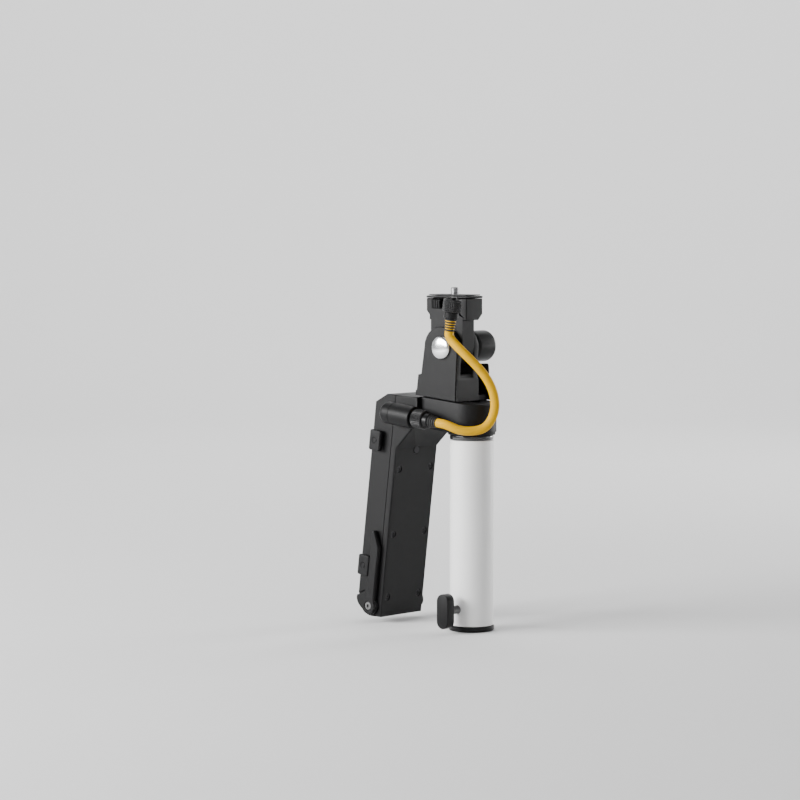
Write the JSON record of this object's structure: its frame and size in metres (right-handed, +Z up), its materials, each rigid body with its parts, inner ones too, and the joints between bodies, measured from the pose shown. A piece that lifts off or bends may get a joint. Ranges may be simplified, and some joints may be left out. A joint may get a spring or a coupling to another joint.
{
  "type": "video light battery handle",
  "caption": "Grip handle for a video light: stand socket and wing lock below, battery plates on a leaning case in front, clamped tilt head and power lead above.",
  "frame": {"origin": "middle of the bottom collar's lower face, at the mouth of the stand socket", "axes": "+Z up along the grip tube, +X the way the light points, towards the battery case, +Y to the handle's left, the side with the socket pod"},
  "size_m": [0.1355, 0.0745, 0.2661],
  "materials": {
    "moulded": "fine spark texture",
    "satin_black": "satin",
    "rubber": "matt",
    "white_paint": "satin powder coat",
    "gloss_ring": "polished",
    "steel": "zinc plated",
    "dark_steel": "black oxide",
    "chrome": "polished",
    "aluminium": "turned",
    "brass": "turned",
    "gold": "plated",
    "board": "solder mask",
    "yellow_jacket": "smooth satin jacket"
  },
  "bodies": {
    "handle": {"bottom_collar": "satin_black", "stand_socket": "steel", "grip_tube": "white_paint", "top_ring": "gloss_ring", "tube_insert": "aluminium", "grip_bolt": "dark_steel", "bridge_arm": "moulded", "tilt_base": "moulded", "base_screw_1": "dark_steel", "base_screw_2": "dark_steel", "base_screw_3": "dark_steel", "base_screw_4": "dark_steel", "tilt_bolt": "dark_steel", "pivot_cap": "chrome", "friction_washer_near": "steel", "friction_washer_far": "steel", "rear_shell": "moulded", "front_shell": "moulded", "case_screw_1": "dark_steel", "case_screw_2": "dark_steel", "case_screw_3": "dark_steel", "case_screw_4": "dark_steel", "case_screw_5": "dark_steel", "case_screw_6": "dark_steel", "case_hanger": "steel", "hanger_screw": "dark_steel", "battery_plate_upper": "satin_black", "battery_plate_lower": "satin_black", "contact_comb_upper": "gold", "contact_comb_lower": "gold", "converter_board": "board", "socket_pod": "moulded", "dc_socket": "dark_steel", "lower_plug_body": "satin_black", "lower_strain_relief": "rubber", "dc_cable": "yellow_jacket"},
    "lock_screw": {"stand_lock_screw": "dark_steel"},
    "lock_knob": {"stand_lock_knob": "satin_black"},
    "head": {"tilt_head": "moulded", "shoe_plate": "dark_steel", "shoe_pad": "rubber", "mount_screw": "steel", "upper_plug_body": "satin_black", "upper_strain_relief": "rubber"},
    "head_slider": {"latch_slider": "moulded"},
    "knob_washer": {"clamp_washer": "steel"},
    "knob": {"tilt_knob": "satin_black", "knob_insert": "brass"},
    "button_upper": {"release_button_upper": "moulded"},
    "button_lower": {"release_button_lower": "moulded"},
    "latch_upper": {"battery_latch_upper": "satin_black"},
    "latch_lower": {"battery_latch_lower": "satin_black"},
    "side_arms": {"side_arm_left": "moulded", "side_arm_right": "moulded", "arm_pin": "steel", "arm_screw_left": "steel", "arm_screw_right": "steel"},
    "lower_nut": {"lower_plug_nut": "satin_black"},
    "upper_nut": {"upper_plug_nut": "satin_black"}
  },
  "joints": [
    {"name": "stand_lock_feed", "type": "slide", "parent": "handle", "child": "lock_screw", "axis": [0, 1, 0], "range_m": [0, 0.002]},
    {"name": "stand_lock_turn", "type": "hinge", "parent": "lock_screw", "child": "lock_knob", "pos_m": [0, 0.0304, 0.0175], "axis": [0, 1, 0], "range_deg": [0, 723]},
    {"name": "head_tilt", "type": "hinge", "parent": "handle", "child": "head", "pos_m": [0.0141, 0.0068, 0.2197], "axis": [0, 1, 0], "range_deg": [-60, 75], "deforming": ["dc_cable"]},
    {"name": "tilt_knob_feed", "type": "slide", "parent": "handle", "child": "knob_washer", "axis": [0, -1, 0], "range_m": [0, 0.00125]},
    {"name": "tilt_knob_turn", "type": "hinge", "parent": "knob_washer", "child": "knob", "pos_m": [0.0141, -0.0195, 0.2197], "axis": [0, -1, 0], "range_deg": [0, 363]},
    {"name": "slider_press", "type": "slide", "parent": "head", "child": "head_slider", "axis": [-1, 0, 0], "range_m": [0, 0.004], "stiffness_N_per_m": 150},
    {"name": "button_upper_press", "type": "slide", "parent": "handle", "child": "button_upper", "axis": [0, -1, 0], "range_m": [0, 0.001], "stiffness_N_per_m": 600},
    {"name": "button_lower_press", "type": "slide", "parent": "handle", "child": "button_lower", "axis": [0, -1, 0], "range_m": [0, 0.001], "stiffness_N_per_m": 600},
    {"name": "latch_upper_slide", "type": "slide", "parent": "handle", "child": "latch_upper", "axis": [-0.9923, 0, -0.1236], "range_m": [0, 0.0026]},
    {"name": "latch_lower_slide", "type": "slide", "parent": "handle", "child": "latch_lower", "axis": [-0.9923, 0, -0.1236], "range_m": [0, 0.0026]},
    {"name": "side_arms_swing", "type": "hinge", "parent": "handle", "child": "side_arms", "pos_m": [0.08298, 0, 0.01378], "axis": [0, 1, 0], "range_deg": [-90, 0]},
    {"name": "lower_nut_turn", "type": "hinge", "parent": "handle", "child": "lower_nut", "pos_m": [0.02359, 0.033, 0.16467], "axis": [0.9942, 0, 0.108], "continuous": true},
    {"name": "upper_nut_turn", "type": "hinge", "parent": "head", "child": "upper_nut", "pos_m": [-0.00479, 0.0282, 0.25269], "axis": [-0.1513, 0, 0.9885], "continuous": true}
  ],
  "couplings": [
    {"joint": "stand_lock_turn", "follows": "stand_lock_feed", "rad_per_m": 6283.2},
    {"joint": "tilt_knob_turn", "follows": "tilt_knob_feed", "rad_per_m": 5026.5},
    {"joint": "latch_upper_slide", "follows": "button_upper_press", "ratio": 2.5},
    {"joint": "latch_lower_slide", "follows": "button_lower_press", "ratio": 2.5}
  ]
}
